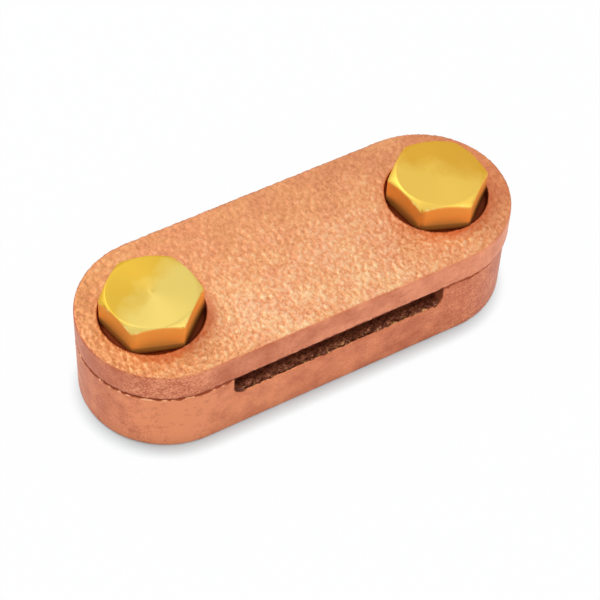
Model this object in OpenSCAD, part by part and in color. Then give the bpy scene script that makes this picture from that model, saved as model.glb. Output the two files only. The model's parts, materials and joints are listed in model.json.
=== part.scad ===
// Earthing tape clip: a cast base with a slot for flat tape, a cast cover plate and two hex-head screws.
// The origin is at the middle of the back face, X runs along the clip and Z points out of the wall.

/* [Tape slot] */
// Width of the flat tape that passes through the clip
tape_width = 25; // [20:0.5:40]
// Room for the tape in the slot, both sides together
tape_side_room = 1.4; // [0.4:0.1:3]
// Depth of the slot, a little less than the tape is thick so that the cover grips it
slot_depth = 2.4; // [1.5:0.1:4]
// Radius of the slot's lower corners
slot_corner_radius = 0.6; // [0.2:0.1:1]

/* [Clip outline] */
// Width of both castings, across the clip
clip_width = 19.8; // [17:0.2:26]
// Distance from the slot's end wall to the axis of a screw
slot_to_screw = 4.8; // [4.2:0.1:8]
// Distance from the axis of a screw to the end of the cover
screw_to_end = 8.3; // [7:0.1:12]
// How far the cover reaches past the base at the right end
cover_overhang = 0.4; // [0:0.1:0.8]

/* [Base casting] */
// Height of the base, from its back face to the seam
base_height = 8.4; // [7.5:0.1:14]
// Radius of the base's lower edge
base_edge_radius = 0.2; // [0.1:0.05:1]

/* [Cover casting] */
// Thickness of the cover plate
cover_thickness = 3.8; // [3:0.1:6]
// Radius of the cover's upper edge
cover_edge_radius = 0.25; // [0.1:0.05:1.2]
// Radius of the two edges that meet at the seam
seam_edge_radius = 0.1; // [0.05:0.05:0.5]

/* [Screws] */
// Nominal diameter of the thread
thread_diameter = 6; // [5:0.5:7]
// Length of a screw under its head
screw_length = 10; // [8:0.5:10.5]
// Width of a head across its flats
head_across_flats = 10; // [8:0.5:11]
// Height of a head
head_height = 4; // [3:0.1:6]
// Diameter of the flat turned face on top of the left head
left_face_diameter = 9.9; // [7:0.1:9.9]
// Diameter of the flat turned face on top of the right head
right_face_diameter = 9.5; // [7:0.1:9.9]
// Angle between the chamfer of a head and its top face
head_chamfer_angle = 35; // [15:1:40]
// Turn of the left head, from a corner towards the right end
left_head_turn = 41; // [0:1:59]
// Turn of the right head, from a corner towards the right end
right_head_turn = 38; // [0:1:59]
// Size of the chamfer at the tip of a screw
tip_chamfer = 0.7; // [0.3:0.1:1.2]

/* [Screw seats and holes] */
// Depth of the round seat in the cover that a head sinks into
seat_depth = 0.8; // [0.3:0.1:1.5]
// Gap between the corners of a head and the wall of its seat
seat_gap = 0.06; // [0.04:0.02:0.5]
// Chamfer at the rim of a seat
seat_rim_chamfer = 0.1; // [0.05:0.05:0.4]
// Gap around a screw in its hole through the cover
cover_hole_gap = 0.3; // [0.1:0.05:0.5]
// Running gap around a screw in its tapped hole through the base
thread_gap = 0.05; // [0.02:0.01:0.1]
// Chamfer at the mouth of a tapped hole
tapped_hole_chamfer = 0.4; // [0.2:0.1:0.8]

/* [Fixing hole] */
// Diameter of the hole for the screw that fixes the base to a wall
fixing_hole_diameter = 5.5; // [4:0.1:6.5]
// Diameter of the countersink in the slot's floor
countersink_diameter = 10.5; // [8:0.1:12]

/* [Hidden] */
$fn = 96;

// Overrun of a cutter past the face that it opens
cut = 1;

slot_width = tape_width + tape_side_room;
screw_spacing = slot_width + 2 * slot_to_screw;
cover_length = screw_spacing + 2 * screw_to_end;
base_length = cover_length - cover_overhang;
base_centre_x = -cover_overhang / 2;

screw_radius = thread_diameter / 2;
tapped_hole_radius = screw_radius + thread_gap;
cover_hole_radius = screw_radius + cover_hole_gap;
head_corner_radius = head_across_flats / sqrt(3);
seat_radius = head_corner_radius + seat_gap;

cover_top = base_height + cover_thickness;
seat_floor = cover_top - seat_depth;
slot_floor = base_height - slot_depth;

// Half of a casting's cross-section, with its lower and upper outer edges rounded
module half_section(half_width, height, lower_radius, upper_radius) {
    translate([0, lower_radius])
        square([half_width, height - lower_radius - upper_radius]);
    square([half_width - lower_radius, lower_radius]);
    translate([0, height - upper_radius])
        square([half_width - upper_radius, upper_radius]);
    translate([half_width - lower_radius, lower_radius])
        circle(lower_radius);
    translate([half_width - upper_radius, height - upper_radius])
        circle(upper_radius);
}

// A casting with straight sides and round ends, centred on the Z axis and standing on Z = 0
module round_ended_casting(length, width, height, lower_radius, upper_radius) {
    straight = length - width;
    for (turn = [0, 180])
        rotate([0, 0, turn]) {
            translate([straight / 2, 0, 0])
                rotate_extrude(angle = 180, start = -90)
                    half_section(width / 2, height, lower_radius, upper_radius);
            translate([-straight / 2, 0, 0])
                rotate([90, 0, 90])
                    linear_extrude(straight)
                        half_section(width / 2, height, lower_radius, upper_radius);
        }
}

// Places its children on the axis of each screw
module at_each_screw() {
    for (side = [-1, 1])
        translate([side * screw_spacing / 2, 0, 0])
            children();
}

// A cone that takes the sharp edge off the mouth of a hole whose mouth is at Z = 0
module mouth_chamfer(radius, size) {
    translate([0, 0, -size])
        cylinder(r1 = radius, r2 = radius + size + cut, h = size + cut);
}

// The trough that the tape lies in, open at the front and at the back
module tape_slot() {
    half = slot_width / 2;
    translate([0, clip_width / 2 + cut, 0])
        rotate([90, 0, 0])
            linear_extrude(clip_width + 2 * cut) {
                translate([-half, slot_floor + slot_corner_radius])
                    square([slot_width, slot_depth - slot_corner_radius + cut]);
                translate([-half + slot_corner_radius, slot_floor])
                    square([slot_width - 2 * slot_corner_radius, slot_depth]);
                for (side = [-1, 1])
                    translate([side * (half - slot_corner_radius), slot_floor + slot_corner_radius])
                        circle(slot_corner_radius);
            }
}

// The hole in the slot's floor for a countersunk wall screw, with its head below the tape
module fixing_hole() {
    hole_radius = fixing_hole_diameter / 2;
    translate([0, 0, -cut])
        cylinder(r = hole_radius, h = base_height + cut);
    translate([0, 0, slot_floor])
        mouth_chamfer(hole_radius, countersink_diameter / 2 - hole_radius);
}

// A screw whose head sits on Z = 0: a hexagon cut by a turned blank, over a shank with a chamfered tip
module hex_screw(head_turn, face_diameter) {
    face_radius = face_diameter / 2;
    blank_radius = head_corner_radius + cut;
    chamfer_drop = (blank_radius - face_radius) * tan(head_chamfer_angle);
    tip_radius = screw_radius - tip_chamfer;
    intersection() {
        rotate([0, 0, head_turn])
            cylinder(r = head_corner_radius, h = head_height, $fn = 6);
        rotate_extrude()
            polygon([[0, -cut], [blank_radius, -cut], [blank_radius, head_height - chamfer_drop],
                     [face_radius, head_height], [0, head_height]]);
    }
    rotate_extrude()
        polygon([[0, -screw_length], [tip_radius, -screw_length],
                 [screw_radius, tip_chamfer - screw_length], [screw_radius, 0], [0, 0]]);
}

module base() {
    color("#c98062")
        difference() {
            translate([base_centre_x, 0, 0])
                round_ended_casting(base_length, clip_width, base_height,
                                    base_edge_radius, seam_edge_radius);
            tape_slot();
            fixing_hole();
            at_each_screw() {
                translate([0, 0, -cut])
                    cylinder(r = tapped_hole_radius, h = base_height + 2 * cut);
                translate([0, 0, base_height])
                    mouth_chamfer(tapped_hole_radius, tapped_hole_chamfer);
            }
        }
}

module cover() {
    color("#dd9a6d")
        difference() {
            translate([0, 0, base_height])
                round_ended_casting(cover_length, clip_width, cover_thickness,
                                    seam_edge_radius, cover_edge_radius);
            at_each_screw() {
                translate([0, 0, base_height - cut])
                    cylinder(r = cover_hole_radius, h = cover_thickness + 2 * cut);
                translate([0, 0, seat_floor])
                    cylinder(r = seat_radius, h = seat_depth + cut);
                translate([0, 0, cover_top])
                    mouth_chamfer(seat_radius, seat_rim_chamfer);
            }
        }
}

module left_screw() {
    color("#d9bb4f")
        translate([-screw_spacing / 2, 0, seat_floor])
            hex_screw(left_head_turn, left_face_diameter);
}

module right_screw() {
    color("#d6ad45")
        translate([screw_spacing / 2, 0, seat_floor])
            hex_screw(right_head_turn, right_face_diameter);
}

base();
cover();
left_screw();
right_screw();
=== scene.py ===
# %% [markdown]
# An earthing tape clip, dressed for its portrait. Two sand castings of gunmetal grip a flat copper tape
# between them, and a brass screw at each end draws the cover down onto the base. This lesson keeps the
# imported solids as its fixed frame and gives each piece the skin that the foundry, the grinder and the
# lathe left on it.

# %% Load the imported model
import json
import math
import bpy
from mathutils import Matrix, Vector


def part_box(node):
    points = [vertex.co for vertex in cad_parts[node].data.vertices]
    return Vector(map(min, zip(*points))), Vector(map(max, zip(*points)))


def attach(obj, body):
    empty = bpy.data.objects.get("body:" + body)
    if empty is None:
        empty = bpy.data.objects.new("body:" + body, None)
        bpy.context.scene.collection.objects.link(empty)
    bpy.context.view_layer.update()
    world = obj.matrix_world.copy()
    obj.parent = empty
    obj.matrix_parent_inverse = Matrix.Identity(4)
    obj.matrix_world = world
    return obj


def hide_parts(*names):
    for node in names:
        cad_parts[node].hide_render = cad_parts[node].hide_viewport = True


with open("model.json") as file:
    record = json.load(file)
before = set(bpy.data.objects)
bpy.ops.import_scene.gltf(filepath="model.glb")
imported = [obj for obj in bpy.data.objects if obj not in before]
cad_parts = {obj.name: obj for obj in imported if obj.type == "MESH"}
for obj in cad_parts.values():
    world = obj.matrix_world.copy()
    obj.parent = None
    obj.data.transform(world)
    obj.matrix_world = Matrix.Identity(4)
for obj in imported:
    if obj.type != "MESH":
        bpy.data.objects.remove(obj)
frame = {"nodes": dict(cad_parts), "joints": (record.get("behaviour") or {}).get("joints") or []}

from types import SimpleNamespace

import bmesh
import bpy
from mathutils import Matrix, Vector

MM = 0.001
scene = bpy.context.scene
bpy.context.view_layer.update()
print("nodes", sorted(frame["nodes"]))

# %% [markdown]
# Colours are written as the hex values that a screen shows, and a shader wants them linear, so one function
# turns them over. A second function adds any node to any tree, for materials and for Geometry Nodes alike:
# it makes the node's own settings, and each input is a value, or the node or socket that feeds it. Inputs go
# by name or by number. On a Map Range, 1 and 2 are the range that it reads, and 3 and 4 the range that it
# gives. On a colour Mix, 0 is the share, 6 and 7 are the two colours, and the result is output 2.

# %% Colours and nodes
MATH = "ShaderNodeMath"
VECTOR = "ShaderNodeVectorMath"
RANGE = "ShaderNodeMapRange"
NOISE = "ShaderNodeTexNoise"
MIX = "ShaderNodeMix"
SPLIT = "ShaderNodeSeparateXYZ"
JOIN = "ShaderNodeCombineXYZ"
ATTRIBUTE = "ShaderNodeAttribute"


def linear(hex_colour):
    """The linear RGBA of an sRGB hex colour."""
    channels = [int(hex_colour[i:i + 2], 16) / 255 for i in (1, 3, 5)]
    return [c / 12.92 if c <= 0.04045 else ((c + 0.055) / 1.055) ** 2.4 for c in channels] + [1]


def add(tree, kind, inputs=None, **settings):
    """A new node in a tree, with its settings made and its inputs set or linked."""
    made = tree.nodes.new(kind)
    for name, value in settings.items():
        setattr(made, name, value)
    for key, value in (inputs or {}).items():
        source = value.outputs[0] if isinstance(value, bpy.types.Node) else value
        if isinstance(source, bpy.types.NodeSocket):
            tree.links.new(source, made.inputs[key])
        else:
            made.inputs[key].default_value = source
    return made


print("mid grey is", round(linear("#808080")[0], 3), "in linear light")

# %% [markdown]
# Every place follows from the frame. The seam is where the cover starts, the slot lies under it, and each
# screw turns on the axis of its own joint, with its head on the seat.

# %% Measure the frame
SLOT_DEPTH = 2.4 * MM
SLOT_HALF = 13.2 * MM

base_low, base_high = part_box("base")
cover_low, cover_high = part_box("cover")
seam_z = cover_low.z
cover_top = cover_high.z
half_width = cover_high.y
slot_floor = seam_z - SLOT_DEPTH
straight_half = cover_high.x - half_width
screw_places = {}
for name in ("left_screw", "right_screw"):
    low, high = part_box(name)
    joint = next(j for j in frame["joints"] if j["child"] == name)
    screw_places[name] = {"x": joint["pos_m"][0], "seat": joint["pos_m"][2], "tip": low.z, "top": high.z}
    print(name, {key: round(value / MM, 2) for key, value in screw_places[name].items()})
print("seam at", round(seam_z / MM, 2), "mm, cover top at", round(cover_top / MM, 2), "mm")

# %% [markdown]
# The camera looks down on the near long side from the left, a little tilted, as a hand-held one is. Its
# place and its lens were found by matching the clip's outline and the centres of its heads.

# %% Camera
AZIMUTH = math.radians(-32.227)
ELEVATION = math.radians(51.025)
ROLL = math.radians(3.004)
AIM = Vector((-0.644, -2.061, 6.0)) * MM
DISTANCE = 240.601 * MM
LENS = 129.546
SENSOR = 36
NEAR_CLIP = 10 * MM

back = Vector((math.sin(AZIMUTH) * math.cos(ELEVATION), -math.cos(AZIMUTH) * math.cos(ELEVATION),
               math.sin(ELEVATION)))
right = Vector((math.cos(AZIMUTH), math.sin(AZIMUTH), 0))
turn = Matrix((right, back.cross(right), back)).transposed() @ Matrix.Rotation(ROLL, 3, "Z")
camera = bpy.data.objects.new("camera", bpy.data.cameras.new("camera"))
camera.data.lens = LENS
camera.data.sensor_width = SENSOR
camera.data.clip_start = NEAR_CLIP
camera.matrix_world = Matrix.Translation(AIM + back * DISTANCE) @ turn.to_4x4()
scene.collection.objects.link(camera)
scene.camera = camera
print("camera at", [round(v / MM, 1) for v in camera.matrix_world.translation], "mm")

# %% [markdown]
# Sand leaves its own print on a casting: the metal runs between the grains, so the skin is a field of tiny
# hollows with bright ridges between them. A bump map could fake that, but real relief also glints and shades
# from every side. So each solid is copied, remade as an even net of small squares, and pushed in and out by
# Geometry Nodes. These helpers start and close a tree, put it on a piece with its sizes, and at the end turn
# the piece into the plain mesh that an export keeps.

# %% Helpers for trees


def new_tree(name, sizes):
    """A Geometry Nodes tree with a geometry, a material and named sizes as inputs: tree, inputs."""
    tree = bpy.data.node_groups.new(name, "GeometryNodeTree")
    tree.interface.new_socket("Geometry", in_out="OUTPUT", socket_type="NodeSocketGeometry")
    tree.interface.new_socket("Geometry", in_out="INPUT", socket_type="NodeSocketGeometry")
    tree.interface.new_socket("Material", in_out="INPUT", socket_type="NodeSocketMaterial")
    for size in sizes:
        tree.interface.new_socket(size, in_out="INPUT", socket_type="NodeSocketFloat")
    return tree, add(tree, "NodeGroupInput").outputs


def end_tree(tree, geometry, material):
    """Closes a tree: instances made real, the material set and the result handed out."""
    real = add(tree, "GeometryNodeRealizeInstances", {"Geometry": geometry})
    painted = add(tree, "GeometryNodeSetMaterial", {"Geometry": real, "Material": material})
    add(tree, "NodeGroupOutput", {0: painted})
    print(tree.name, "has", len(tree.nodes), "nodes")


print("helpers for trees:", new_tree.__name__, "and", end_tree.__name__)

# %% Helpers for pieces
WELD = 0.001 * MM


def even_skin(node, name, pitch):
    """A copy of a solid as a new piece, remade as an even net of squares."""
    mesh = frame["nodes"][node].data.copy()
    mesh.materials.clear()
    work = bmesh.new()
    work.from_mesh(mesh)
    bmesh.ops.remove_doubles(work, verts=work.verts, dist=WELD)
    work.to_mesh(mesh)
    work.free()
    piece = bpy.data.objects.new(name, mesh)
    scene.collection.objects.link(piece)
    net = piece.modifiers.new("even_net", "REMESH")
    net.mode = "VOXEL"
    net.voxel_size = pitch
    net.use_smooth_shade = True
    return piece


def dress(piece, tree, material, **sizes):
    """Puts a tree on a piece, with its inputs set by their identifiers."""
    modifier = piece.modifiers.new(tree.name, "NODES")
    modifier.node_group = tree
    for item in tree.interface.items_tree:
        key = item.name.lower().replace(" ", "_")
        if item.name == "Material":
            modifier[item.identifier] = material
        elif key in sizes:
            modifier[item.identifier] = sizes[key]


def settle(piece):
    """Turns a piece and its modifiers into a plain mesh."""
    graph = bpy.context.evaluated_depsgraph_get()
    mesh = bpy.data.meshes.new_from_object(piece.evaluated_get(graph))
    piece.modifiers.clear()
    piece.data = mesh
    triangles = sum(len(face.vertices) - 2 for face in mesh.polygons)
    print(piece.name, "has", triangles, "triangles and", [m.name for m in mesh.materials])


print("points within", WELD / MM, "mm are welded")

# %% [markdown]
# The first tree presses the sand grain. It works only where a face looks up and lies near one height, which
# is the cover's top or the slot's floor. Two attributes keep what it did, for the material to read. The far
# side is calmer, because it was rubbed less.

# %% Where the sand left its print
grain_tree, given = new_tree("sand_grain", ["Face Height", "Face Band", "Grain Size", "Grain Depth",
                                            "Grain Run", "Wave Size", "Wave Depth", "Skin", "Calm Y",
                                            "Lively Y"])
place = add(grain_tree, "GeometryNodeInputPosition")
facing = add(grain_tree, "GeometryNodeInputNormal")
place_y, place_z = add(grain_tree, SPLIT, {0: place}).outputs[1:]
facing_z = add(grain_tree, SPLIT, {0: facing}).outputs["Z"]
upward = add(grain_tree, RANGE, {0: facing_z, 1: 0.5, 2: 0.92}, interpolation_type="SMOOTHSTEP")
off_face = add(grain_tree, MATH, {0: place_z, 1: given["Face Height"]}, operation="SUBTRACT")
distance = add(grain_tree, MATH, {0: off_face}, operation="ABSOLUTE")
near_face = add(grain_tree, RANGE, {0: distance, 1: given["Face Band"], 2: 0.0})
as_cast = add(grain_tree, MATH, {0: upward, 1: near_face}, operation="MULTIPLY")

grains_per_metre = add(grain_tree, MATH, {0: 1.0, 1: given["Grain Size"]}, operation="DIVIDE")
run = add(grain_tree, JOIN, {"X": 1.0, "Y": given["Grain Run"], "Z": 1.0})
drawn_place = add(grain_tree, VECTOR, {0: place, 1: run}, operation="MULTIPLY")
sand = add(grain_tree, NOISE, {"Vector": drawn_place, "Scale": grains_per_metre, "Detail": 3.0,
                               "Roughness": 0.65, "Distortion": 0.4})
ridge = add(grain_tree, RANGE, {0: sand.outputs["Fac"], 1: 0.28, 2: 0.72})
grain = add(grain_tree, MATH, {0: ridge, 1: as_cast}, operation="MULTIPLY")
print("the grain is found with", len(grain_tree.nodes), "nodes")

# %% [markdown]
# The grain moves each point inwards along its normal, by up to its depth. The ground sides get a faint
# waviness in the same step, and a thin skin is taken off all over, so that no ridge leaves the solid's box.

# %% Press the grain in
CALM_SHARE = 0.52

hollow_in = add(grain_tree, MATH, {0: ridge, 1: 1.0}, operation="SUBTRACT")
lively = add(grain_tree, RANGE, {0: place_y, 1: given["Calm Y"], 2: given["Lively Y"], 3: CALM_SHARE, 4: 1.0})
hollow_here = add(grain_tree, MATH, {0: hollow_in, 1: as_cast}, operation="MULTIPLY")
hollow_lively = add(grain_tree, MATH, {0: hollow_here, 1: lively}, operation="MULTIPLY")
grain_move = add(grain_tree, MATH, {0: hollow_lively, 1: given["Grain Depth"]}, operation="MULTIPLY")
waves_per_metre = add(grain_tree, MATH, {0: 1.0, 1: given["Wave Size"]}, operation="DIVIDE")
wave = add(grain_tree, NOISE, {"Vector": place, "Scale": waves_per_metre, "Detail": 3.0})
wave_move = add(grain_tree, MATH, {0: wave.outputs["Fac"], 1: given["Wave Depth"], 2: given["Skin"]},
                operation="MULTIPLY_ADD")
move = add(grain_tree, MATH, {0: grain_move, 1: wave_move}, operation="SUBTRACT")
offset = add(grain_tree, VECTOR, {0: facing, "Scale": move}, operation="SCALE")

kept = given["Geometry"]
for attribute, field in (("as_cast", as_cast), ("grain", grain)):
    kept = add(grain_tree, "GeometryNodeStoreNamedAttribute",
               {"Geometry": kept, "Name": attribute, "Value": field}, data_type="FLOAT", domain="POINT")
pressed = add(grain_tree, "GeometryNodeSetPosition", {"Geometry": kept, "Offset": offset})
end_tree(grain_tree, pressed, given["Material"])

# %% [markdown]
# Where the two castings meet, and along the lip of the slot, the edges are not clean: sand broke away there
# and the grinder only brushed past. The second tree nibbles at the outer edge at one height. It measures
# how far a point lies from the clip's middle line, so it leaves the screw holes alone.

# %% How near a point is to the edge
edge_tree, given = new_tree("ragged_edge", ["Centre X", "Straight Half", "Half Width", "Edge Height", "Reach",
                                            "Nick Length", "Nick Depth", "Nick Share", "Stretch Half",
                                            "Climb", "Inward", "Steady Share"])
place = add(edge_tree, "GeometryNodeInputPosition")
parts = add(edge_tree, SPLIT, {0: place}).outputs
from_centre = add(edge_tree, MATH, {0: parts["X"], 1: given["Centre X"]}, operation="SUBTRACT")
along = add(edge_tree, MATH, {0: from_centre}, operation="ABSOLUTE")
past = add(edge_tree, MATH, {0: along, 1: given["Straight Half"]}, operation="SUBTRACT")
past_end = add(edge_tree, MATH, {0: past, 1: 0.0}, operation="MAXIMUM")
spoke = add(edge_tree, JOIN, {"X": past_end, "Y": parts["Y"]})
spoke_length = add(edge_tree, VECTOR, {0: spoke}, operation="LENGTH").outputs["Value"]
inset = add(edge_tree, MATH, {0: given["Half Width"], 1: spoke_length}, operation="SUBTRACT")
rise = add(edge_tree, MATH, {0: parts["Z"], 1: given["Edge Height"]}, operation="SUBTRACT")
from_edge = add(edge_tree, JOIN, {"X": inset, "Z": rise})
gap = add(edge_tree, VECTOR, {0: from_edge}, operation="LENGTH").outputs["Value"]
near_edge = add(edge_tree, RANGE, {0: gap, 1: given["Reach"], 2: 0.0}, interpolation_type="SMOOTHSTEP")
print("the edge is found with", len(edge_tree.nodes), "nodes")

# %% [markdown]
# Noise decides where a nick is and how deep. A steady share wears the edge all along, so that the slot's
# lip sags as a whole, and a high power of the place along it lifts the sag again at both ends.

# %% Nibble the edge
NICK_SOFTNESS = 0.25
END_SHARPNESS = 30.0

nicks_per_metre = add(edge_tree, MATH, {0: 1.0, 1: given["Nick Length"]}, operation="DIVIDE")
crumble = add(edge_tree, NOISE, {"Vector": place, "Scale": nicks_per_metre, "Detail": 4.0})
calm = add(edge_tree, MATH, {0: 1.0, 1: given["Nick Share"]}, operation="SUBTRACT")
calm_top = add(edge_tree, MATH, {0: calm, 1: NICK_SOFTNESS}, operation="ADD")
nick = add(edge_tree, RANGE, {0: crumble.outputs["Fac"], 1: calm, 2: calm_top})
worn = add(edge_tree, RANGE, {0: nick, 1: 0.0, 2: 1.0, 3: given["Steady Share"], 4: 1.0})
along_share = add(edge_tree, MATH, {0: along, 1: given["Stretch Half"]}, operation="DIVIDE")
end_lift = add(edge_tree, MATH, {0: along_share, 1: END_SHARPNESS}, operation="POWER")
sag = add(edge_tree, MATH, {0: 1.0, 1: end_lift}, operation="SUBTRACT", use_clamp=True)
sagging_edge = add(edge_tree, MATH, {0: near_edge, 1: sag}, operation="MULTIPLY")
bite = add(edge_tree, MATH, {0: worn, 1: sagging_edge}, operation="MULTIPLY")
depth = add(edge_tree, MATH, {0: bite, 1: given["Nick Depth"]}, operation="MULTIPLY")

end_sign = add(edge_tree, MATH, {0: from_centre}, operation="SIGN")
end_x = add(edge_tree, MATH, {0: past_end, 1: end_sign}, operation="MULTIPLY")
outline_spoke = add(edge_tree, JOIN, {"X": end_x, "Y": parts["Y"]})
outward = add(edge_tree, VECTOR, {0: outline_spoke}, operation="NORMALIZE")
climb = add(edge_tree, JOIN, {"Z": given["Climb"]})
draw_out = add(edge_tree, VECTOR, {0: outward, "Scale": given["Inward"]}, operation="SCALE")
heading = add(edge_tree, VECTOR, {0: climb, 1: draw_out}, operation="SUBTRACT")
offset = add(edge_tree, VECTOR, {0: heading, "Scale": depth}, operation="SCALE")
nibbled = add(edge_tree, "GeometryNodeSetPosition", {"Geometry": given["Geometry"], "Offset": offset})
end_tree(edge_tree, nibbled, given["Material"])

# %% [markdown]
# The screws are M6 with a thread of 1 mm pitch. A thread is a rule: how far a point is cut in depends only
# on its height and its angle round the axis. The third tree applies that rule to the shank of a screw, and
# with a narrower ridge to the wall of a tapped hole, from the same zero, so that the ridges of one lie in
# the grooves of the other, also when the screw turns and rises together.

# %% The rule of the thread
thread_tree, given = new_tree("screw_thread", ["Axis X", "Low", "High", "Radius", "Pitch", "Depth",
                                               "Crest Share", "Root Share"])
place = add(thread_tree, "GeometryNodeInputPosition")
parts = add(thread_tree, SPLIT, {0: place}).outputs
across = add(thread_tree, MATH, {0: parts["X"], 1: given["Axis X"]}, operation="SUBTRACT")
spoke = add(thread_tree, JOIN, {"X": across, "Y": parts["Y"]})
radius = add(thread_tree, VECTOR, {0: spoke}, operation="LENGTH").outputs["Value"]
angle = add(thread_tree, MATH, {0: parts["Y"], 1: across}, operation="ARCTAN2")
turns = add(thread_tree, MATH, {0: angle, 1: math.tau}, operation="DIVIDE")
climbs = add(thread_tree, MATH, {0: parts["Z"], 1: given["Pitch"]}, operation="DIVIDE")
phase = add(thread_tree, MATH, {0: climbs, 1: turns}, operation="SUBTRACT")
groove = add(thread_tree, MATH, {0: phase, 1: 0.5}, operation="PINGPONG")
groove_share = add(thread_tree, MATH, {0: groove, 1: 2.0}, operation="MULTIPLY")
cut = add(thread_tree, RANGE, {0: groove_share, 1: given["Crest Share"], 2: given["Root Share"]})
print("the rule takes", len(thread_tree.nodes), "nodes")

# %% [markdown]
# The cut runs out gently below the head, where the die stops, and it moves only what lies on the wall of
# the shank or the hole.

# %% Cut the thread
RUN_OUT = 0.5 * MM
WALL_MARGIN = 0.15 * MM

low_end = add(thread_tree, MATH, {0: parts["Z"], 1: given["Low"]}, operation="GREATER_THAN")
to_high = add(thread_tree, MATH, {0: given["High"], 1: parts["Z"]}, operation="SUBTRACT")
high_end = add(thread_tree, RANGE, {0: to_high, 1: 0.0, 2: RUN_OUT})
span = add(thread_tree, MATH, {0: low_end, 1: high_end}, operation="MULTIPLY")
full_cut = add(thread_tree, MATH, {0: cut, 1: span}, operation="MULTIPLY")
cut_depth = add(thread_tree, MATH, {0: full_cut, 1: given["Depth"]}, operation="MULTIPLY")
target = add(thread_tree, MATH, {0: given["Radius"], 1: cut_depth}, operation="SUBTRACT")
new_radius = add(thread_tree, MATH, {0: radius, 1: target}, operation="MINIMUM")
limit = add(thread_tree, MATH, {0: given["Radius"], 1: WALL_MARGIN}, operation="ADD")
on_wall = add(thread_tree, MATH, {0: radius, 1: limit}, operation="LESS_THAN")
outward = add(thread_tree, VECTOR, {0: spoke}, operation="NORMALIZE")
inward = add(thread_tree, MATH, {0: new_radius, 1: radius}, operation="SUBTRACT")
on_wall_move = add(thread_tree, MATH, {0: inward, 1: on_wall}, operation="MULTIPLY")
offset = add(thread_tree, VECTOR, {0: outward, "Scale": on_wall_move}, operation="SCALE")
threaded = add(thread_tree, "GeometryNodeSetPosition", {"Geometry": given["Geometry"], "Offset": offset})
end_tree(thread_tree, threaded, given["Material"])

# %% [markdown]
# Both castings are gunmetal, a bronze of copper with some tin and zinc. A picture wrapped round them would
# show one side only, so the colour is built in layers from noise and distances in Object coordinates, which
# move with the piece. All layers read the same fields: the attributes of the sand, three noises, and how far
# a point lies from the nearest screw's axis, from the clip's middle line and from the seam.

# %% What the layers of a casting read
GRIT_SIZE = 0.25 * MM
PATCH_SIZE = 5 * MM
CRUMB_SIZE = 0.8 * MM


def casting_fields(tree, run):
    """The fields that the layers of a casting's colour read, by name."""
    place = add(tree, "ShaderNodeTexCoord").outputs["Object"]
    x, y, z = add(tree, SPLIT, {0: place}).outputs
    run_place = add(tree, VECTOR, {0: place, 1: (1.0, run, 1.0)}, operation="MULTIPLY")
    grit = add(tree, NOISE, {"Vector": run_place, "Scale": 1 / GRIT_SIZE, "Detail": 3.0, "Roughness": 0.6,
                             "Distortion": 0.5}).outputs["Fac"]
    along = add(tree, MATH, {0: x}, operation="ABSOLUTE")
    from_axis = add(tree, MATH, {0: along, 1: screw_places["right_screw"]["x"]}, operation="SUBTRACT")
    spoke = add(tree, JOIN, {"X": from_axis, "Y": y})
    past = add(tree, MATH, {0: along, 1: straight_half}, operation="SUBTRACT")
    past_end = add(tree, MATH, {0: past, 1: 0.0}, operation="MAXIMUM")
    end_spoke = add(tree, JOIN, {"X": past_end, "Y": y})
    reach_out = add(tree, VECTOR, {0: end_spoke}, operation="LENGTH").outputs["Value"]
    return SimpleNamespace(
        place=place, x=x, y=y, z=z, along=along, from_axis=from_axis, reach_out=reach_out, grit=grit,
        speck=add(tree, MATH, {0: grit, 1: 0.5}, operation="SUBTRACT"),
        patch=add(tree, NOISE, {"Vector": place, "Scale": 1 / PATCH_SIZE, "Detail": 2.0}).outputs["Fac"],
        crumbs=add(tree, NOISE, {"Vector": place, "Scale": 1 / CRUMB_SIZE, "Detail": 4.0}).outputs["Fac"],
        as_cast=add(tree, ATTRIBUTE, attribute_name="as_cast").outputs["Fac"],
        grain=add(tree, ATTRIBUTE, attribute_name="grain").outputs["Fac"],
        radius=add(tree, VECTOR, {0: spoke}, operation="LENGTH").outputs["Value"],
        from_seam=add(tree, MATH, {0: z, 1: seam_z}, operation="SUBTRACT"),
        at_outline=add(tree, RANGE, {0: reach_out, 1: half_width - 1.2 * MM, 2: half_width - 0.5 * MM}))


print("grit", GRIT_SIZE / MM, "mm, crumbs", CRUMB_SIZE / MM, "mm, patches", PATCH_SIZE / MM, "mm")

# %% [markdown]
# A face that stays as cast runs from dark hollows over its own tone to pale ridges, which also paints shade
# into the hollows and highlights onto the ridges. The tone is a sum: the pressed grain, finer grit between
# the grains, whose bright specks are painted glints, soft patches, and a painted sheen on the near middle.
# Rosy patches lie over it. The grain runs across the clip on the cover and along the clip in the slot.

# %% The face as the sand made it
COVER_RUN = 0.65
BASE_RUN = 1.6
CALM_Y = 9 * MM
LIVELY_Y = -5 * MM
PLAIN_TONE = 0.28
GRAIN_SHARE = 0.5
GRIT_SHARE = 0.88
PATCH_SHARE = 0.3
SHEEN_SHARE = 0.17
BLUSH_SIZE = 2.2 * MM
BLUSH = (0.98, 0.91, 0.98, 1)


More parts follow.
